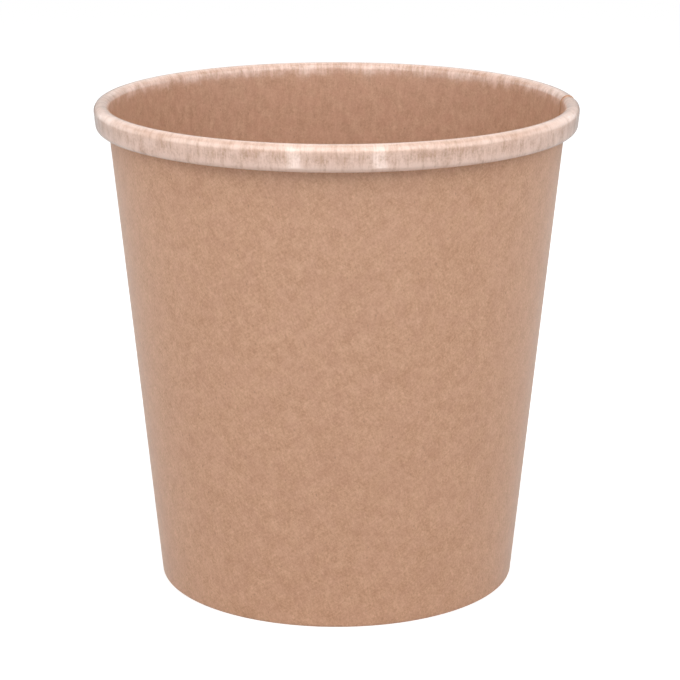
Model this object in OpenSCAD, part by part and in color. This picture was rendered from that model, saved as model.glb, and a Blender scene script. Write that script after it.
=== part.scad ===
// Paper soup cup: a wrapped board sidewall with a lap seam and a curled rim, and a recessed base disc.
// Lengths are in millimetres. The cup stands on its foot at z = 0, with its axis on Z.

/* [Cup] */
// Height from the table to the top of the rim
cup_h = 99.5; // [85:0.5:115]
// Outside diameter of the rolled rim, which a lid grips
rim_d = 98; // [94:0.5:106]
// Outside diameter of the foot at the table
foot_d = 73.5; // [68:0.1:78]

/* [Board] */
// Thickness of the sidewall board
board_t = 0.45; // [0.3:0.05:0.6]
// Thickness of the base board
disc_t = 0.4; // [0.3:0.05:0.7]

/* [Rim] */
// Width of the roll, from its inner to its outer side
roll_w = 3; // [2.6:0.1:4]
// Height of the roll
roll_h = 5.3; // [4.6:0.1:7]
// Gap between the curled-in end and the wall
tuck_gap = 0.15; // [0.05:0.05:0.4]
// Length of the end that stands up inside the roll
tuck_l = 1.1; // [0.5:0.1:1.6]

/* [Foot] */
// Height of the base disc's underside above the table
recess_h = 8.5; // [7:0.5:14]
// Distance from the hem's upper end to where the base board starts to turn down
hem_gap = 0.6; // [0.2:0.1:3]
// Inner radius of each corner of the fold at the table
fold_r = 0.08; // [0.04:0.01:0.14]
// Inner radius where the base board turns down into its skirt
skirt_r = 0.5; // [0.2:0.1:1.2]
// Height of the skirt's lower edge above the inside of the fold
skirt_gap = 0.2; // [0.1:0.1:1]
// Clearance on each side of the skirt, between the wall and the hem
seal_gap = 0.01; // [0.01:0.01:0.05]

/* [Seam] */
// Azimuth of the middle of the lap, from +X towards +Y
seam_a = 12; // [-180:1:180]
// Width of the lap of the sidewall over itself, at half the cup's height
lap_w = 8; // [5:0.5:12]
// Width over which the sheet climbs onto its own starting edge
climb_w = 3.5; // [2:0.5:4.5]
// Length over which the lap is crushed to nothing at the foot
crush_l = 2; // [1:0.5:4]

/* [Hidden] */
$fn = 180;

// Step of the arcs in the sections
arc_step = 10;
// The rim curls through half a turn over its crown and half a turn back under, on these inner radii
crown_r = roll_w / 2 - board_t;
under_r = (roll_w - board_t - tuck_gap) / 2 - board_t;
// Centres, in the r-z plane, of the crown and of the outer corner of the fold at the foot
crown_at = [rim_d - roll_w, 2 * cup_h - roll_w] / 2;
fold_out = fold_r + board_t;
foot_at = [foot_d / 2 - fold_out, fold_out];
// The wall is the tangent that leaves the foot's corner on its right and meets the crown on its left
span = crown_at - foot_at;
tangent_in = fold_out + crown_r;
lean = acos(tangent_in / norm(span)) - atan2(span.y, span.x);
wall_l = sqrt(span * span - tangent_in ^ 2);
// The side of the roll runs down along the lean to the curve back under
side_l = roll_h - roll_w / 2 - under_r - board_t;
under_at = beside(crown_at, crown_r - under_r, -side_l);
// The fold is flat where it stands, so that the skirt fits between the wall and the hem
flat_w = (disc_t + 2 * seal_gap - 2 * fold_r) / cos(lean);
hem_at = foot_at - [flat_w, 0];
// The base board turns down about a centre that sets its skirt along the wall
turn_in = fold_r - seal_gap - disc_t - skirt_r;
turn_h = (recess_h - skirt_r - foot_at.y + turn_in * sin(lean)) / cos(lean);
turn_at = beside(foot_at, turn_in, turn_h);
skirt_l = turn_h - skirt_gap;
hem_l = turn_h - hem_gap;

// Radius, at the table's level, of a face that lies at distance d outside a corner's centre
function base_r(at, d) = at.x + (d - at.y * sin(lean)) / cos(lean);
wall_in_r = base_r(foot_at, fold_r);
wall_out_r = base_r(foot_at, fold_out);
hem_in_r = base_r(hem_at, -fold_out);

// Azimuths of the seam: the climb starts, the inner edge of the sheet is met, the outer edge ends
mid_r = wall_out_r + cup_h / 2 * tan(lean);
function arc_a(w, r) = w / r * 180 / PI;
inner_edge_a = seam_a - arc_a(lap_w, mid_r) / 2;
outer_edge_a = seam_a + arc_a(lap_w, mid_r) / 2;
climb_a = inner_edge_a - arc_a(climb_w, mid_r);
// The layers of the lap start this much before the climb, inside the sheet
lead_a = 1;
// Angle at which a flat climb leaves a round face of radius r, to rise by rise over its width
function climb_tilt(r, rise) = asin(((r + rise) ^ 2 - r ^ 2 - climb_w ^ 2) / (2 * r * climb_w));

// Points of an arc about centre at, from angle a1 to a2, at steps of about arc_step
function arc(at, r, a1, a2) = let (n = ceil(abs(a2 - a1) / arc_step))
    [for (i = [0:n]) let (a = a1 + (a2 - a1) * i / n) at + r * [cos(a), sin(a)]];
// Point at height h along the lean and distance d outwards from a centre
function beside(at, d, h) = at + d * [cos(lean), -sin(lean)] + h * [sin(lean), cos(lean)];

// Frames of the wall and of the hem, from their lower ends up, with x = 0 on the faces that meet the skirt
module on_wall() {
    translate(foot_at) rotate(-lean) translate([fold_r, 0]) children();
}

module on_hem() {
    translate(hem_at) rotate(-lean) mirror([1, 0]) translate([fold_r, 0]) children();
}

// Section of the sheet in the r-z plane. One side runs from the hem's end round the fold, up the wall's
// outer face and round the inside of the roll; the other runs back round the roll and down the inside.
module sheet_section() {
    polygon(concat(
        [beside(hem_at, -fold_out, hem_l)],
        arc(hem_at, fold_out, 180 - lean, 270),
        arc(foot_at, fold_out, -90, -lean),
        arc(crown_at, crown_r, 180 - lean, -lean),
        arc(under_at, under_r, -lean, -180 - lean),
        [beside(under_at, -under_r, tuck_l), beside(under_at, -under_r - board_t, tuck_l)],
        arc(under_at, under_r + board_t, -180 - lean, -lean),
        arc(crown_at, crown_r + board_t, -lean, 180 - lean),
        arc(foot_at, fold_r, -lean, -90),
        arc(hem_at, fold_r, 270, 180 - lean),
        [beside(hem_at, -fold_r, hem_l)]
    ));
}

// Second layer of the lap on a stretch of length l, crushed to nothing at the foot. It starts halfway
// through the first layer, which it is one with.
module layer_section(l) {
    polygon([[board_t / 2, 0], [2 * board_t, crush_l], [2 * board_t, l], [board_t / 2, l]]);
}

// Section swept about the axis from azimuth a1 to a2
module swept(a1, a2) {
    rotate(a1) rotate_extrude(angle = a2 - a1) children();
}

// Block on one side of the climb's flat face, which holds the line of a leaning face of radius r. It
// goes on past the climb's width, to where that face lies beyond the layer.
module beyond_climb(r, tilt, side) {
    reach = 1.3 * climb_w;
    rotate(climb_a) translate([r, 0, 0]) rotate([0, lean, 0]) rotate(-side * tilt)
        translate([side > 0 ? 0 : -cup_h, -climb_w, -cup_h])
            cube([cup_h, climb_w + reach, 3 * cup_h]);
}

// Outer layer of the lap: on the wall it ends in a cut edge, and its other side climbs from the wall
module wall_lap() {
    difference() {
        swept(climb_a - lead_a, outer_edge_a) on_wall() layer_section(wall_l - side_l);
        beyond_climb(wall_out_r, climb_tilt(mid_r, board_t), 1);
    }
}

module hem_lap() {
    difference() {
        swept(climb_a - lead_a, outer_edge_a) on_hem() layer_section(hem_l);
        beyond_climb(hem_in_r, -climb_tilt(hem_in_r, -board_t), -1);
    }
}

// Groove inside the cup, where the climbing sheet leaves the mandrel before the inner cut edge
module inner_groove() {
    groove_l = wall_l - recess_h - disc_t;
    difference() {
        swept(climb_a - lead_a, inner_edge_a) on_wall() translate([-board_t, wall_l - groove_l])
            square([3 * board_t, groove_l]);
        beyond_climb(wall_in_r, climb_tilt(mid_r - board_t, board_t), 1);
    }
}

module sidewall() {
    color("burlywood") difference() {
        union() {
            rotate_extrude() sheet_section();
            wall_lap();
            hem_lap();
        }
        inner_groove();
    }
}

// Section of the base board: flat disc, turned down at its edge into a skirt
module base_section() {
    polygon(concat(
        [[0, turn_at.y + skirt_r], [0, turn_at.y + skirt_r + disc_t]],
        arc(turn_at, skirt_r + disc_t, 90, -lean),
        [beside(turn_at, skirt_r + disc_t, -skirt_l), beside(turn_at, skirt_r, -skirt_l)],
        arc(turn_at, skirt_r, -lean, 90)
    ));
}

module base_disc() {
    color("tan") rotate_extrude() base_section();
}

sidewall();
base_disc();
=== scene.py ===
import math
import bpy
import numpy as np
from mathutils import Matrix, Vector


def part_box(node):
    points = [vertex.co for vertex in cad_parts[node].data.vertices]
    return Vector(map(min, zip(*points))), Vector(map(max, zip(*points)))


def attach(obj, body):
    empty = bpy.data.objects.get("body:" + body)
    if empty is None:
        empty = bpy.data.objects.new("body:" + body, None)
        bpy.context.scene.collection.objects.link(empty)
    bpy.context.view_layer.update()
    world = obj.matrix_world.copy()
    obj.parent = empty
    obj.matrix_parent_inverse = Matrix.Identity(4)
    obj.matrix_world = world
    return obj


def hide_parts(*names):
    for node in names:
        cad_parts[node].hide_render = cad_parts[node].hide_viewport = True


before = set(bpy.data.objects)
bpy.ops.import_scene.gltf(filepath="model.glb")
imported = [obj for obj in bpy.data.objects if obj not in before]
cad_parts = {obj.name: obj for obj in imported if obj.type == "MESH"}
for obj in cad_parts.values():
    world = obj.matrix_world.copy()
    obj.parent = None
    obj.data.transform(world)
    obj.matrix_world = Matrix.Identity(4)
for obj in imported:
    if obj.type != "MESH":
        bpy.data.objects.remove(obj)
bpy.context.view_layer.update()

# A paper soup cup in brown kraft board, in metres, standing on its foot at z = 0.
# One sheet goes once round the cup and a little further, over its own starting edge. Its coated face
# is the inside of the cup and the outside of the curled rim, and its raw face is the outside.

mm = 0.001
wallLow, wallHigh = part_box("sidewall")
discLow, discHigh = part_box("base_disc")

sheetSize = {
    "board": 0.45 * mm,          # thickness of the sheet
    "glue": 0.01 * mm,           # gap between the two layers of the lap
    "rollWidth": 3 * mm,
    "rollHeight": 5.3 * mm,
    "tuckGap": 0.15 * mm,        # from the curled-in end to the wall
    "tuckLength": 1.1 * mm,
    "footRadius": 36.75 * mm,
    "foldRadius": 0.08 * mm,     # inside each corner of the fold at the table
    "hemGap": 0.6 * mm,          # from the hem's end to where the base turns down
    "seamMiddle": 12,            # degrees from +X towards +Y
    "lapWidth": 8 * mm,
    "climbWidth": 3.5 * mm,      # where the sheet climbs onto its own starting edge
    "easeWidth": 1.5 * mm,       # where the pressed sheet gets its thickness back
    "pressLength": 2 * mm,       # from pressed flat to full thickness, at the foot and under the roll
    "outOfRound": 0.16 * mm,     # how far the wall wanders inwards
    "wanderFrom": (12 * mm, 60 * mm),    # heights between which the wander sets in
    "wanderWaves": ((2, 0.6, 0.24), (3, -1.1, 0.12), (7, 0, 0.06)),    # waves all round, phase, share
    "ribs": 112,                 # left on the hem by the sealing wheel
    "ribDepth": 0.07 * mm,
    "ribStart": (1.6 * mm, 2.4 * mm),    # heights between which the ribs rise
    "ribEnd": (1.2 * mm, 0.5 * mm),      # and below the hem's end, between which they fade
    "hemSteps": 9,
}
discSize = {
    "board": 0.4 * mm,
    "turnRadius": 0.5 * mm,      # inside the corner where the base turns down
    "sealGap": 0.01 * mm,
    "pleats": 84,
    "pleatDepth": 0.07 * mm,
    "pleatReach": (1.6 * mm, 0.3 * mm),    # how far in and out of the corner a pleat goes
    "pleatHeight": 3.5 * mm,
    "sag": 0.12 * mm,            # in the middle
    "columns": 504,
}
# The third coordinate of each face's pattern, so that no two faces show the same one
patternLevels = {
    "coatedWall": 0.0,
    "rawWall": 20 * mm,
    "baseUpper": 50 * mm,
    "baseUnder": 90 * mm,
}


def unitVector(angle):
    return np.array([math.cos(angle), math.sin(angle)])


def easeBetween(value, low, high):
    # Smooth step: 0 before low, 1 after high, 3t^2 - 2t^3 between them
    t = np.clip((value - low) / (high - low), 0, 1)
    return t * t * (3 - 2 * t)


# The sheet's section in the r-z plane, worked out from the box of the solid
s = sheetSize
t = s["board"]
rimRadius = wallHigh.x
cupHeight = wallHigh.z
crownRadius = s["rollWidth"] / 2 - t
underRadius = (s["rollWidth"] - t - s["tuckGap"]) / 2 - t
foldOut = s["foldRadius"] + t
crownAt = np.array([rimRadius - s["rollWidth"] / 2, cupHeight - s["rollWidth"] / 2])
footAt = np.array([s["footRadius"] - foldOut, foldOut])
span = crownAt - footAt
lean = math.acos((foldOut + crownRadius) / np.hypot(*span)) - math.atan2(span[1], span[0])
outwards = unitVector(-lean)
upwards = np.array([math.sin(lean), math.cos(lean)])
wallLength = float(span @ upwards)
sideLength = s["rollHeight"] - s["rollWidth"] / 2 - underRadius - t
underAt = crownAt + (crownRadius - underRadius) * outwards - sideLength * upwards
flatWidth = (discSize["board"] + 2 * discSize["sealGap"] - 2 * s["foldRadius"]) / math.cos(lean)
hemAt = footAt - np.array([flatWidth, 0])
turnIn = s["foldRadius"] - discSize["sealGap"] - discSize["board"] - discSize["turnRadius"]
turnHeight = discHigh.z - discSize["board"] - discSize["turnRadius"]
turnUp = (turnHeight - footAt[1] + turnIn * math.sin(lean)) / math.cos(lean)
turnAt = footAt + turnIn * outwards + turnUp * upwards
hemLength = turnUp - s["hemGap"]
turnDrop = (discSize["turnRadius"] + discSize["board"]) * outwards[1]
skirtLength = (turnAt[1] - discLow.z + turnDrop) / math.cos(lean)


def stretchOfSheet(start, end, angles, coated, raw, steps):
    # Rows of one stretch: the centre goes straight from start to end while the direction from it to
    # the sheet turns through angles. A row is centre r, centre z, direction r, direction z, and the
    # distances to the coated and the raw face. steps is a count of rows or a list of shares.
    share = np.linspace(0, 1, steps + 1) if isinstance(steps, int) else np.array(steps)
    centre = start + (end - start) * share[:, None]
    angle = angles[0] + (angles[1] - angles[0]) * share
    faces = np.broadcast_to([coated, raw], (len(share), 2))
    return np.column_stack([centre, np.cos(angle), np.sin(angle), faces])


def sectionOfSheet():
    # From the hem's end down, round the fold, up the wall, over the crown, down the side of the roll,
    # back under it and up into its hollow
    turned = math.pi - lean
    fold = s["foldRadius"], foldOut
    crown = crownRadius + t, crownRadius
    under = underRadius + t, underRadius
    nearFoot = np.linspace(0, 1, 6) * s["pressLength"] / wallLength
    rollFoot = (wallLength - sideLength - crownRadius) / wallLength
    nearRoll = rollFoot - (1 - np.linspace(0, 1, 6)) * s["pressLength"] / wallLength
    between = np.linspace(nearFoot[-1], nearRoll[0], 12)[1:-1]
    wallRows = [*nearFoot, *between, *nearRoll, *np.linspace(rollFoot, 1, 4)[1:]]
    stretches = [
        stretchOfSheet(hemAt + hemLength * upwards, hemAt, (turned, turned), *fold, s["hemSteps"]),
        stretchOfSheet(hemAt, hemAt, (turned, 1.5 * math.pi), *fold, 5),
        stretchOfSheet(footAt, footAt, (-0.5 * math.pi, -lean), *fold, 5),
        stretchOfSheet(footAt, footAt + wallLength * upwards, (-lean, -lean), *fold, wallRows),
        stretchOfSheet(crownAt, crownAt, (turned, -lean), *crown, 20),
        stretchOfSheet(underAt + sideLength * upwards, underAt, (-lean, -lean), *under, 3),
        stretchOfSheet(underAt, underAt, (-lean, -lean - math.pi), *under, 14),
        stretchOfSheet(underAt, underAt + s["tuckLength"] * upwards, (-lean - math.pi,) * 2, *under, 2),
    ]
    # Where two stretches meet, the second one's first row repeats the first one's last
    rows = np.concatenate([stretches[0]] + [stretch[1:] for stretch in stretches[1:]])
    middle = rows[:, :2] + rows[:, 2:4] * rows[:, 4:].mean(1, keepdims=True)
    along = np.concatenate([[0], np.cumsum(np.hypot(*np.diff(middle, axis=0).T))])
    return rows, middle, along


def seamAngles():
    # Azimuths, in radians, where the climb starts, the inner edge lies and the outer edge lies
    middleRadius = s["footRadius"] + cupHeight / 2 * math.tan(lean)
    middle = math.radians(s["seamMiddle"])
    inner = middle - s["lapWidth"] / middleRadius / 2
    outer = middle + s["lapWidth"] / middleRadius / 2
    return inner - s["climbWidth"] / middleRadius, inner, outer, s["easeWidth"] / middleRadius


def columnsOfSheet():
    # Azimuths from the inner cut edge, once round, to the outer cut edge, closer together in the seam
    climb, inner, outer, ease = seamAngles()
    stops = [inner, outer, outer + ease, climb + 2 * math.pi, inner + 2 * math.pi, outer + 2 * math.pi]
    counts = [16, 8, 590, 14, 16]    # columns from each stop to the next
    spans = [np.linspace(a, b, n + 1)[1:] for a, b, n in zip(stops, stops[1:], counts)]
    return np.concatenate([[inner], *spans])


def sheetFaces():
    # Both faces of the sheet on one grid of section rows and azimuths. Each point is moved from the
    # coated side towards the raw side by shift, and the raw face lies the local thickness further on.
    rows, middle, along = sectionOfSheet()
    azimuth = columnsOfSheet()
    climb, inner, outer, ease = seamAngles()
    last = easeBetween(azimuth, climb + 2 * math.pi, inner + 2 * math.pi)
    lapped = np.maximum(1 - easeBetween(azimuth, outer, outer + ease), last)
    height = middle[:, 1]
    onHem = np.arange(len(rows)) <= s["hemSteps"]
    fromRoll = height - (cupHeight - s["rollHeight"])
    pressed = np.maximum(1 - easeBetween(height, foldOut, s["pressLength"] + foldOut),
                         easeBetween(fromRoll, -s["pressLength"], 0))
    half = (t - s["glue"]) / 2 / t
    share = 1 - pressed * (1 - half)
    thickness = t * (1 - (pressed * (1 - half))[:, None] * lapped)
    shift = last * (share[:, None] * t + s["glue"])
    # Ribs on the raw face of the hem: squared cosine waves, so the grooves are narrower than the ribs
    ribHeight = easeBetween(height, *s["ribStart"])
    ribHeight = ribHeight * (1 - easeBetween(height, *(hemLength - below for below in s["ribEnd"])))
    ribs = (0.5 - 0.5 * np.cos(s["ribs"] * azimuth)) ** 2
    thickness = thickness - s["ribDepth"] * (onHem * ribHeight)[:, None] * ribs
    side = np.sign(rows[:, 5] - rows[:, 4])[:, None]
    # The wall's wander: a sum of waves that is never below 0, so that it only goes inwards
    waves = [part * (1 - np.cos(count * azimuth + phase)) for count, phase, part in s["wanderWaves"]]
    wander = s["outOfRound"] * easeBetween(height, *s["wanderFrom"])[:, None] * sum(waves)
    faces = []
    for distance in (rows[:, 4:5] + side * shift, rows[:, 4:5] + side * (shift + thickness)):
        radius = rows[:, 0:1] + rows[:, 2:3] * distance - wander
        z = rows[:, 1:2] + rows[:, 3:4] * distance
        faces.append(np.stack([radius * np.cos(azimuth), radius * np.sin(azimuth), z], -1))
    # Where each point lies on the flat sheet, a fan about the cone's tip, and on the wrapped one
    fan = s["footRadius"] / math.sin(lean) + along[:, None]
    flat = np.stack([fan * np.sin(azimuth * math.sin(lean)), fan * np.cos(azimuth * math.sin(lean))], -1)
    wrapped = np.stack(np.broadcast_arrays(azimuth * rimRadius, along[:, None]), -1)
    return faces, flat, wrapped, height, along


def gridQuads(rows, columns, first, flip, closed=False):
    # Corner numbers of a grid's quads, the rows going one way and the columns the other
    number = first + np.arange(rows * columns).reshape(rows, columns)
    if closed:
        number = np.column_stack([number, number[:, :1]])
    corners = [number[:-1, :-1], number[1:, :-1], number[1:, 1:], number[:-1, 1:]]
    quads = np.stack(corners, -1).reshape(-1, 4)
    return quads[:, ::-1] if flip else quads


def meshObject(name, points, faceLists, materials, fields):
    # faceLists is [(array of faces, material number)], and fields is {attribute name: array}
    mesh = bpy.data.meshes.new(name)
    mesh.from_pydata(points.tolist(), [], [face for faces, _ in faceLists for face in faces.tolist()])
    materialNumbers = np.concatenate([np.full(len(faces), number) for faces, number in faceLists])
    mesh.polygons.foreach_set("material_index", materialNumbers)
    mesh.polygons.foreach_set("use_smooth", np.ones(len(mesh.polygons), bool))
    for material in materials:
        mesh.materials.append(material)
    for key, values in fields.items():
        kind = "FLOAT_VECTOR" if values.ndim == 2 else "FLOAT"
        data = mesh.attributes.new(key, kind, "POINT").data
        data.foreach_set("vector" if values.ndim == 2 else "value", values.astype(np.float32).ravel())
    mesh.set_sharp_from_angle(angle=math.radians(50))
    mesh.update()
    piece = bpy.data.objects.new(name, mesh)
    bpy.context.scene.collection.objects.link(piece)
    return piece


class Wire:
    # One output socket. Arithmetic on it adds Math nodes to its tree.
    def __init__(self, finish, socket):
        self.finish = finish
        self.socket = socket

    def __add__(self, other):
        return self.finish.maths("ADD", self, other)

    def __sub__(self, other):
        return self.finish.maths("SUBTRACT", self, other)

    def __rsub__(self, other):
        return self.finish.maths("SUBTRACT", other, self)

    def __mul__(self, other):
        return self.finish.maths("MULTIPLY", self, other)

    __radd__ = __add__
    __rmul__ = __mul__

    def between(self, low, high):
        # Smooth step from 0 at low to 1 at high
        kind = {"interpolation_type": "SMOOTHSTEP"}
        return self.finish.node("ShaderNodeMapRange", kind, {0: self, 1: low, 2: high, 3: 0.0, 4: 1.0})

    def within(self, low, high):
        return self.finish.maths("MAXIMUM", self.finish.maths("MINIMUM", self, high), low)


class Finish:
    # A material, or the world's tree, and the nodes that make it
    def __init__(self, name=None, tree=None):
        if tree is None:
            self.material = bpy.data.materials.new(name)
            self.material.use_nodes = True
            tree = self.material.node_tree
        self.tree = tree
        self.tree.nodes.clear()

    def node(self, kind, settings=None, values=None, output=0):
        made = self.tree.nodes.new(kind)
        for key, value in (settings or {}).items():
            setattr(made, key, value)
        for key, value in (values or {}).items():
            if isinstance(value, Wire):
                self.tree.links.new(value.socket, made.inputs[key])
            else:
                made.inputs[key].default_value = value
        return Wire(self, made.outputs[output])

    def maths(self, operation, *values):
        return self.node("ShaderNodeMath", {"operation": operation}, dict(enumerate(values)))

    def field(self, name, output="Fac"):
        return self.node("ShaderNodeAttribute", {"attribute_name": name}, output=output)

    def stretch(self, where, sizes, turn=0.0, shift=(0, 0, 0)):
        # A pattern's own coordinates: turned in the sheet's plane, then divided by the size of its
        # features along each side
        values = {0: where, 1: shift, 2: (0, 0, turn), 3: (1, 1, 1)}
        turned = self.node("ShaderNodeMapping", {"vector_type": "POINT"}, values)
        scale = [1 / size for size in sizes]
        return self.node("ShaderNodeVectorMath", {"operation": "MULTIPLY"}, {0: turned, 1: scale})

    def noise(self, where, sizes, detail=2.0, roughness=0.5, turn=0.0, shift=(0, 0, 0)):
        vector = self.stretch(where, sizes, turn, shift)
        values = {"Vector": vector, "Scale": 1.0, "Detail": detail, "Roughness": roughness}
        return self.node("ShaderNodeTexNoise", {"noise_dimensions": "3D"}, values)

    def mix(self, factor, first, second):
        values = {0: factor, 6: first, 7: second}
        return self.node("ShaderNodeMix", {"data_type": "RGBA"}, values, output=2)

    def tint(self, factor, under, colour):
        return self.mix(factor, under, colourOf(*colour))

    def relief(self, strength, height):
        values = {"Strength": strength, "Distance": kraft["reliefDepth"], "Height": height}
        return self.node("ShaderNodeBump", None, values)

    def emission(self, strength):
        return self.node("ShaderNodeEmission", None, {"Color": (1, 1, 1, 1), "Strength": strength})

    def either(self, factor, first, second):
        # The first shader where factor is 0, the second where it is 1
        return self.node("ShaderNodeMixShader", None, {0: factor, 1: first, 2: second})

    def shown(self, shader, kind="ShaderNodeOutputMaterial"):
        end = self.tree.nodes.new(kind)
        self.tree.links.new(shader.socket, end.inputs["Surface"])

    def board(self, colour, roughness, bump, values):
        inputs = {"Base Color": colour, "Roughness": roughness, "Normal": bump, **values}
        self.shown(self.node("ShaderNodeBsdfPrincipled", None, inputs))
        return self.material


def colourOf(red, green, blue):
    # A colour given as it is seen, 0 to 255, as the linear values that a shader takes
    seen = np.array([red, green, blue]) / 255
    linear = np.where(seen <= 0.04045, seen / 12.92, ((seen + 0.055) / 1.055) ** 2.4)
    return (*linear.tolist(), 1.0)


kraft = {
    "dark": (184, 136, 103),
    "light": (219, 173, 142),
    "pinkish": (202, 152, 128),
    "speck": (136, 94, 68),
    "paleFibre": (226, 188, 160),
    "cloudSize": 2.4 * mm,
    "cloudContrast": 0.8,
    "grainSize": 0.5 * mm,
    "grainContrast": 1.4,
    "fibreLength": 1.3 * mm,
    "fibreWidth": 0.2 * mm,
    "fibreTurns": ((0.2, 0.4), (-0.6, 0.3), (1.35, 0.3)),    # radians, share
    "fibreContrast": 1.9,
    "paleFibres": (0.58, 0.68),  # from here to here on the fibres' scale they turn pale
    "paleShare": 0.25,
    "hueSize": 3.6 * mm,
    "hueFrom": (0.4, 0.62),
    "hueShare": 0.18,
    "speckSize": 1.1 * mm,       # distance between places where a speck may lie
    "speckTurn": 0.4,            # radians
    "speckShape": 0.6,           # width of a speck by its length
    "speckFrom": (0.06, 0.2),
    "speckRare": (0.56, 0.68),
    "speckShare": 0.4,
    "roughness": 0.62,
    "reliefDepth": 0.05 * mm,
}
rimFilm = {
    "dark": (175, 131, 103),
    "light": (212, 170, 142),
    # The pale band round the rim: stretched film, and painted reflection of the white surroundings
    "pale": (240, 207, 191),
    # A painted highlight along the crest of the rim
    "peachHighlight": (238, 200, 178),
    "boardContrast": 0.75,       # of the board's own pattern, under the film
    "hueShare": 0.25,
    "peachHighlightShare": 0.25,
    "streakWidth": 1.2 * mm,
    "streakLength": 3.2 * mm,
    "streakContrast": 0.9,
    "markWidth": 0.34 * mm,
    "markLength": 3.5 * mm,
    "markContrast": 1.9,
    "grainContrast": 1.0,
    "blotchWidth": 2.2 * mm,
    "blotchLength": 4 * mm,
    "blotchContrast": 1.9,
    # How pale the band turns: partly stretched film, partly painted reflection
    "whiteningAndReflection": 0.6,
    # Painted highlight: the crest paler still
    "crownPaintedHighlight": 0.1,
    # Painted reflection of the floor: the low side of the roll paler
    "lowPaintedReflection": 0.35,
    "leastWhiteningAndReflection": 0.22,
    "raggedness": 0.9,           # of the edge of the pale band
    "raggedFrom": (0.25, 1.0),
    "roughness": 0.46,
    "curlFrom": (-5.5 * mm, 0.3 * mm),    # distances along the sheet from the crest of the rim
    "crownMiddle": 0.9 * mm,
    "crownFade": (0.5 * mm, 2.2 * mm),
    "lowFrom": (3 * mm, 5.5 * mm),
}
cutEdge = {
    "dark": (182, 140, 112),
    "light": (218, 182, 154),
    "layerSize": 0.12 * mm,
}


def kraftPattern(finish, where, contrast):
    # Clouds, a finer grain and fibres that lie every way, as one number about 0.5, with the fibres,
    # the grain, a slow drift of hue and the mask of the dark specks
    k = kraft
    clouds = finish.noise(where, (k["cloudSize"],) * 3, 2.0, 0.5)
    hue = finish.noise(where, (k["hueSize"],) * 3, 1.0, 0.5, shift=(0.7, 0.2, 0))
    grain = finish.noise(where, (k["grainSize"],) * 3, 2.0, 0.65, shift=(0.3, 0.1, 0))
    thread = k["fibreWidth"], k["fibreLength"], k["fibreLength"]
    fibres = sum(finish.noise(where, thread, 1.0, 0.5, turn) * share for turn, share in k["fibreTurns"])
    tone = (clouds - 0.5) * k["cloudContrast"] + (grain - 0.5) * k["grainContrast"]
    tone = 0.5 + (tone + (fibres - 0.5) * k["fibreContrast"]) * contrast
    # A speck lies near the middle of a cell, in the few cells where a slow noise is high
    cell = k["speckSize"], k["speckSize"] / k["speckShape"], k["speckSize"]
    places = finish.stretch(where, cell, k["speckTurn"])
    cells = finish.node("ShaderNodeTexVoronoi", {"feature": "F1"},
                        {"Vector": places, "Scale": 1.0, "Randomness": 1.0})
    rare = finish.noise(where, (2.5 * k["speckSize"],) * 3, 0.0, shift=(0.9, 0.4, 0))
    specks = (1 - cells.between(*k["speckFrom"])) * rare.between(*k["speckRare"])
    return tone, fibres, grain, hue.between(*k["hueFrom"]), specks


def rawKraft():
    # The outside: uncoated and matt
    finish = Finish("rawKraft")
    where = finish.field("flatSheet", "Vector")
    tone, fibres, grain, hue, specks = kraftPattern(finish, where, 1.0)
    pale = fibres.between(*kraft["paleFibres"])
    colour = finish.tint(tone, colourOf(*kraft["dark"]), kraft["light"])
    colour = finish.tint(hue * kraft["hueShare"], colour, kraft["pinkish"])
    colour = finish.tint(pale * kraft["paleShare"], colour, kraft["paleFibre"])
    colour = finish.tint(specks * kraft["speckShare"], colour, kraft["speck"])
    bump = finish.relief(0.3, fibres * 0.6 + grain * 0.4)
    fuzz = {"Specular IOR Level": 0.5, "Sheen Weight": 0.42, "Sheen Roughness": 0.4}
    return finish.board(colour, kraft["roughness"] - fibres * 0.1, bump, fuzz)


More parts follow.
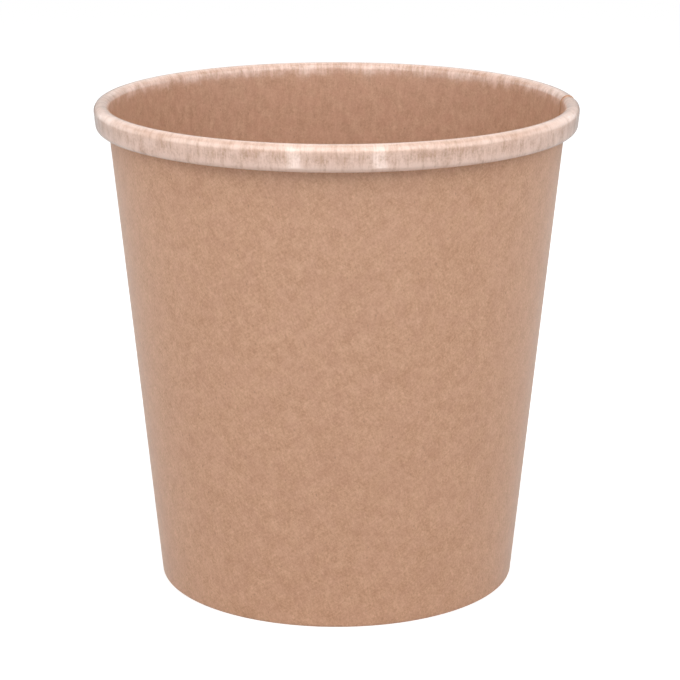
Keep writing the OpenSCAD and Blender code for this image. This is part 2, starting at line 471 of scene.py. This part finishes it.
def coatedKraft():
    # The inside and the curled rim: a thin film over the same board. Round the rim the stretched
    # film and board turn pale, with blotches and with fine marks across the curl. That pale band is
    # also painted reflection of the white surroundings in the film.
    f = rimFilm
    finish = Finish("coatedKraft")
    where = finish.field("flatSheet", "Vector")
    wrapped = finish.field("wrappedSheet", "Vector")
    curl, crown, low = [finish.field(name) for name in ("curl", "crown", "low")]
    tone, fibres, grain, hue, specks = kraftPattern(finish, where, f["boardContrast"])
    streaks = finish.noise(wrapped, (f["streakWidth"], f["streakLength"], mm), 2.0, 0.6)
    marks = finish.noise(wrapped, (f["markWidth"], f["markLength"], mm), 3.0, 0.7)
    blotch = f["blotchWidth"], f["blotchLength"], mm
    blotches = finish.noise(wrapped, blotch, 2.0, 0.55, shift=(0.4, 0, 0))
    colour = finish.tint(tone + (streaks - 0.5) * f["streakContrast"], colourOf(*f["dark"]), f["light"])
    colour = finish.tint(hue * f["hueShare"], colour, kraft["pinkish"])
    colour = finish.tint(specks * kraft["speckShare"], colour, kraft["speck"])
    # How pale the rim turns: stretched film and painted reflection, with a painted highlight on the crest
    # and painted reflection of the floor low on the roll
    whiteningAndReflection = f["whiteningAndReflection"] + crown * f["crownPaintedHighlight"] + low * f["lowPaintedReflection"]
    patterns = {"markContrast": marks, "grainContrast": grain, "blotchContrast": blotches}
    for key, pattern in patterns.items():
        whiteningAndReflection = whiteningAndReflection + (pattern - 0.5) * f[key]
    # The pale band: stretched film and painted reflection of the white surroundings
    band = (curl + (blotches - 0.5) * f["raggedness"]).between(*f["raggedFrom"])
    colour = finish.tint(band * whiteningAndReflection.within(f["leastWhiteningAndReflection"], 1.0), colour, f["pale"])
    # Painted highlight: a peach tint along the crest
    colour = finish.tint(crown * f["peachHighlightShare"], colour, f["peachHighlight"])
    bump = finish.relief(0.25, fibres * 0.3 + grain * 0.3 + curl * marks * 0.9)
    roughness = f["roughness"] + (grain - 0.5) * 0.15 - curl * 0.14
    film = 0.2 + curl * (0.6 + (marks - 0.5) * 2.0)
    gloss = {"Specular IOR Level": 0.5, "Coat Weight": film, "Coat Roughness": 0.1, "Coat IOR": 1.6}
    return finish.board(colour, roughness, bump, gloss)


def cutBoard():
    # The cut edges of the board, paler and rougher than its faces
    finish = Finish("cutBoard")
    where = finish.node("ShaderNodeTexCoord", output="Object")
    layers = finish.noise(where, (cutEdge["layerSize"],) * 3, 2.0, 0.6)
    colour = finish.tint(layers, colourOf(*cutEdge["dark"]), cutEdge["light"])
    return finish.board(colour, 0.9, finish.relief(0.4, layers), {"Specular IOR Level": 0.3})


def makeSidewall(materials):
    faces, flat, wrapped, height, along = sheetFaces()
    rows, columns = flat.shape[:2]
    count = rows * columns
    number = np.arange(count).reshape(rows, columns)
    coated, raw = number, number + count
    strips = []
    for inner, outer in ((coated[0], raw[0]), (coated[-1, ::-1], raw[-1, ::-1]),
                         (coated[::-1, 0], raw[::-1, 0]), (coated[:, -1], raw[:, -1])):
        strips.append(np.stack([inner[:-1], inner[1:], outer[1:], outer[:-1]], -1))
    faceLists = [
        (gridQuads(rows, columns, 0, False), 1),
        (gridQuads(rows, columns, count, True), 0),
        (np.concatenate(strips), 2),
    ]
    # How far the board is into its curl (0 on the wall, 1 from the crest on), how near to the outer
    # side of its top bend, and how far down the outside of the roll
    fromCrest = along - along[height.argmax()]
    bands = {
        "curl": easeBetween(fromCrest, *rimFilm["curlFrom"]),
        # Where the painted highlight lies, on the crest
        "crown": 1 - easeBetween(np.abs(fromCrest - rimFilm["crownMiddle"]), *rimFilm["crownFade"]),
        # Where the painted reflection of the floor lies, low on the roll
        "low": easeBetween(fromCrest, *rimFilm["lowFrom"]),
    }
    levels = np.repeat([patternLevels["coatedWall"], patternLevels["rawWall"]], count)
    fields = {key: np.tile(np.repeat(band, columns), 2) for key, band in bands.items()}
    for key, sheet in (("flatSheet", flat), ("wrappedSheet", wrapped)):
        fields[key] = np.column_stack([np.tile(sheet.reshape(-1, 2), (2, 1)), levels])
    points = np.concatenate([face.reshape(-1, 3) for face in faces])
    piece = meshObject("sidewallBoard", points, faceLists, materials, fields)
    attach(piece, "root")
    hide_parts("sidewall")
    print(f"sidewall: {rows} rows by {columns} columns, {len(piece.data.polygons) * 2} triangles")


def sectionOfBase():
    # Half the base's outline: from the axis out along its upper face, down the skirt's outer face,
    # round its lower edge, up its inner face and back to the axis along the underside
    inside = discSize["turnRadius"]
    outside = inside + discSize["board"]
    top = discHigh.z
    down = -skirtLength * upwards
    angle = np.linspace(math.pi / 2, -lean, 10)
    arc = np.stack([np.cos(angle), np.sin(angle)], -1)
    steps = np.linspace(0, 1, 9)[1:, None]
    outerArc = turnAt + outside * arc
    innerArc = turnAt + inside * arc[::-1]
    radii = np.linspace(0, 1, 15)[1:-1, None] * [turnAt[0], 0]
    upper = radii + [0, top]
    lower = radii[::-1] + [0, top - discSize["board"]]
    outerSkirt = outerArc[-1] + down * steps
    innerSkirt = innerArc[0] + down * steps[::-1]
    rows = np.concatenate([upper, outerArc, outerSkirt, innerSkirt, innerArc, lower])
    isUpper = np.arange(len(rows)) < len(upper) + len(outerArc) + len(outerSkirt)
    return rows, isUpper


def makeBase(materials):
    # A surface of revolution of the section, closed at a point on the axis at both ends. Pleats pull
    # the corner in where the round blank had too much board to turn down: squared cosine waves whose
    # phase wanders, so that no two are alike.
    rows, isUpper = sectionOfBase()
    azimuth = np.arange(discSize["columns"]) * 2 * math.pi / discSize["columns"]
    r, z = rows[:, :1], rows[:, 1:]
    phase = 2.2 * np.sin(3 * azimuth) + 1.7 * np.sin(7 * azimuth + 1)
    folds = 0.5 + 0.5 * np.cos(discSize["pleats"] * azimuth + phase)
    within, beyond = discSize["pleatReach"]
    atCorner = easeBetween(r, turnAt[0] - within, turnAt[0] + beyond)
    atCorner = atCorner * easeBetween(z, turnAt[1] - discSize["pleatHeight"], turnAt[1])
    pull = discSize["pleatDepth"] * atCorner * folds ** 2
    sag = discSize["sag"] * (1 - (r / turnAt[0]) ** 2).clip(0) * (z > turnAt[1])
    radius = r - pull
    height = np.broadcast_to(z - pull * 0.5 * (r < turnAt[0]) - sag, radius.shape)
    grid = np.stack([radius * np.cos(azimuth), radius * np.sin(azimuth), height], -1)
    count, columns = len(rows), len(azimuth)
    middleTop = discHigh.z - discSize["sag"]
    poles = np.array([[0, 0, middleTop], [0, 0, middleTop - discSize["board"]]])
    points = np.concatenate([grid.reshape(-1, 3), poles])
    quads = gridQuads(count, columns, 0, False, closed=True)
    ring = np.arange(columns)
    following = (ring + 1) % columns
    start, end = count * columns, count * columns + 1
    upperFan = np.stack([np.full(columns, start), ring, following], -1)
    lastRow = (count - 1) * columns
    lowerFan = np.stack([np.full(columns, end), following + lastRow, ring + lastRow], -1)
    quadRow = np.repeat(np.arange(count - 1), columns)
    upperQuads = isUpper[quadRow]
    faceLists = [(quads[upperQuads], 1), (quads[~upperQuads], 0), (upperFan, 1), (lowerFan, 0)]
    flat = np.concatenate([grid[..., :2].reshape(-1, 2), np.zeros((2, 2))])
    levels = patternLevels["baseUpper"], patternLevels["baseUnder"]
    side = np.concatenate([np.repeat(np.where(isUpper, *levels), columns), levels])
    fields = {key: np.column_stack([flat, side]) for key in ("flatSheet", "wrappedSheet")}
    fields.update({key: np.zeros(len(points)) for key in ("curl", "crown", "low")})
    piece = meshObject("baseBoard", points, faceLists, materials, fields)
    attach(piece, "root")
    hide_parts("base_disc")
    print(f"base: {count} rows by {columns} columns")


# The lamps, each placed by its azimuth from the camera's side, its distance from the cup's axis and
# its height, and turned down by tilt degrees. A level of 1 lights a white surface that faces the lamp,
# at the cup's middle, to 1. One lamp doesn't show in gloss, and one shows only there.
studio = {
    "ambient": 0.02,
    "gloss": 0.5,
    "lamps": {
        "topBank": {
            "azimuth": 0, "reach": 0.0, "height": 1.1, "tilt": 90, "size": (1.6, 1.6), "level": 0.24,
            "glossy": False,
        },
        "backBank": {
            "azimuth": 180, "reach": 0.9, "height": 0.85, "tilt": 40, "size": (1.8, 1.1), "level": 0.18,
        },
        "frontBank": {
            "azimuth": 0, "reach": 0.62, "height": 0.92, "tilt": 54, "size": (1.4, 1.1), "level": 0.64,
        },
        "leftBank": {
            "azimuth": -64, "reach": 0.85, "height": 0.42, "tilt": 23, "size": (0.8, 0.8), "level": 0.325,
        },
        "rightBank": {
            "azimuth": 64, "reach": 0.85, "height": 0.42, "tilt": 23, "size": (0.8, 0.8), "level": 0.325,
        },
        "leftRear": {
            "azimuth": -125, "reach": 0.9, "height": 0.14, "tilt": 5, "size": (0.8, 0.7), "level": 0.145,
        },
        "glossFront": {
            "azimuth": 0, "reach": 0.5, "height": 0.3, "tilt": 22, "size": (0.9, 0.36), "level": 0.17,
            "diffuse": False,
        },
        "rightRear": {
            "azimuth": 125, "reach": 0.9, "height": 0.14, "tilt": 5, "size": (0.8, 0.7), "level": 0.145,
        },
    },
    "middle": (0, 0, 0.06),
    "floorColour": (0.56, 0.56, 0.56, 1),
    "floorGlow": 0.7,
    "floorPlain": (0.3, 0.9),    # from here to here, in metres, the floor turns plain white
    "floorRadius": 4.0,
    "floorSides": 64,
    "floorDrop": 0.02 * mm,      # below the foot, so that the two don't meet in one plane
    "underGlow": 0.7,
    "underRadius": 36.6 * mm,
}
# Strips that only gloss sees. They bend over the front of the rim in two bows, so that each bow shows
# as one streak down the rim. The azimuth is that of the streak on the rim.
glints = {
    "azimuth": 9.5,
    # Degrees above level and metres away, both as seen from the rim, and radiance
    "strips": ((-22, 0.12, 4.6), (24, 0.25, 4.0), (68, 0.25, 2.0), (112, 0.25, 1.2)),
    "halfSize": (3.4, 21.5),     # degrees as seen from the rim, across and along the bow
    "rimRadius": 48.3 * mm,
    "rimHeight": 97 * mm,
}
view = {
    "place": (0, -0.502647, 0.18761),
    "pitch": 15.406,             # degrees below level
    "lens": 133.11,
    "sensor": 36,
    "shiftAcross": 0.005,
}


def addLamp(name, place, azimuth, tilt, size, energy, diffuse=True, glossy=True):
    # A rectangular lamp that faces the cup: turned round to its azimuth, then down by tilt
    data = bpy.data.lights.new(name, "AREA")
    data.shape = "RECTANGLE"
    data.size, data.size_y = size
    data.energy = energy
    light = bpy.data.objects.new(name, data)
    light.location = place
    light.rotation_euler = (math.radians(90 - tilt), 0, math.radians(azimuth))
    light.visible_camera = False
    light.visible_diffuse = diffuse
    light.visible_glossy = glossy
    bpy.context.scene.collection.objects.link(light)


def addLamps():
    # A lamp of power P lights a surface at distance d, in its middle axis, by P / (4 pi d^2) as seen
    for name, lamp in studio["lamps"].items():
        around = math.radians(lamp["azimuth"])
        out = np.array([math.sin(around), -math.cos(around), 0])
        place = lamp["reach"] * out + [0, 0, lamp["height"]]
        energy = lamp["level"] * 4 * math.pi * np.linalg.norm(place - studio["middle"]) ** 2
        addLamp(name, place, lamp["azimuth"], lamp["tilt"], lamp["size"], energy,
                lamp.get("diffuse", True), lamp.get("glossy", True))


def addGlints():
    # A rim point's normals lie in one upright plane, whose own normal is across. A ray that comes
    # from the camera against toCamera leaves with -toCamera.across along it, and turns in the plane.
    # A lamp of radiance L and area A has a power of pi L A.
    g = glints
    up = np.array([0, 0, 1])
    for side, sideName in ((-1, "left"), (1, "right")):
        azimuth = side * math.radians(g["azimuth"])
        out = np.array([math.sin(azimuth), -math.cos(azimuth), 0])
        across = np.array([math.cos(azimuth), math.sin(azimuth), 0])
        rim = out * g["rimRadius"] + up * g["rimHeight"]
        toCamera = np.array(view["place"]) - rim
        aside = -toCamera @ across / np.linalg.norm(toCamera)
        for number, (lift, reach, radiance) in enumerate(g["strips"]):
            turned = out * math.cos(math.radians(lift)) + up * math.sin(math.radians(lift))
            place = rim + reach * (aside * across + math.sqrt(1 - aside ** 2) * turned)
            size = [2 * reach * math.tan(math.radians(half)) for half in g["halfSize"]]
            energy = radiance * math.pi * size[0] * size[1]
            name = f"{sideName}Glint{number}"
            addLamp(name, place, math.degrees(azimuth), lift, size, energy, diffuse=False)


def addWorld():
    # Even light from all round: white to the camera, paler than the lamps to gloss, faint to the rest
    world = bpy.data.worlds.new("studioWorld")
    world.use_nodes = True
    bpy.context.scene.world = world
    sky = Finish(tree=world.node_tree)
    path = sky.node("ShaderNodeLightPath", output="Is Camera Ray")
    gloss = sky.node("ShaderNodeLightPath", output="Is Glossy Ray")
    unseen = gloss * (studio["gloss"] - studio["ambient"]) + studio["ambient"]
    strength = sky.maths("MAXIMUM", path, unseen)
    back = sky.node("ShaderNodeBackground", None, {"Color": (1, 1, 1, 1), "Strength": strength})
    sky.shown(back, "ShaderNodeOutputWorld")


def addFloor():
    # A round floor that the camera sees brighter than it is, so that it is white but for the cup's
    # shadow, and plain white further off. From underneath it is clear. Inside the foot ring it gives
    # light, or the recess would be black from there.
    sides = studio["floorSides"]
    angle = np.linspace(0, 2 * math.pi, sides, endpoint=False)
    ring = studio["floorRadius"] * np.stack([np.cos(angle), np.sin(angle)], -1)
    mesh = bpy.data.meshes.new("floor")
    points = np.column_stack([ring, np.full(sides, -studio["floorDrop"])])
    mesh.from_pydata(points.tolist(), [], [list(range(sides))])
    finish = Finish("floorFinish")
    here = finish.node("ShaderNodeTexCoord", output="Object")
    distance = finish.node("ShaderNodeVectorMath", {"operation": "LENGTH"}, {0: here}, output="Value")
    isUnder = finish.maths("LESS_THAN", distance, studio["underRadius"])
    isSeen = finish.node("ShaderNodeLightPath", output="Is Camera Ray")
    isBehind = finish.node("ShaderNodeNewGeometry", output="Backfacing")
    plain = finish.node("ShaderNodeBsdfDiffuse", None, {"Color": studio["floorColour"]})
    bright = finish.node("ShaderNodeAddShader", None, {0: plain, 1: finish.emission(studio["floorGlow"])})
    seen = finish.either(distance.between(*studio["floorPlain"]), bright, finish.emission(1.0))
    given = finish.either(isUnder, plain, finish.emission(studio["underGlow"]))
    clear = finish.node("ShaderNodeBsdfTransparent")
    finish.shown(finish.either(isBehind, finish.either(isSeen, given, seen), clear))
    mesh.materials.append(finish.material)
    floor = bpy.data.objects.new("floor", mesh)
    bpy.context.scene.collection.objects.link(floor)


def addCamera():
    data = bpy.data.cameras.new("camera")
    data.lens = view["lens"]
    data.sensor_width = view["sensor"]
    data.shift_x = view["shiftAcross"]
    camera = bpy.data.objects.new("camera", data)
    camera.location = view["place"]
    camera.rotation_euler = (math.radians(90 - view["pitch"]), 0, 0)
    bpy.context.scene.collection.objects.link(camera)
    bpy.context.scene.camera = camera


addCamera()
addLamps()
addGlints()
addWorld()
addFloor()
print("studio: camera, lamps and floor are up")

boardFinishes = [rawKraft(), coatedKraft(), cutBoard()]
makeSidewall(boardFinishes)
makeBase(boardFinishes)

bpy.context.scene.view_settings.view_transform = "Standard"
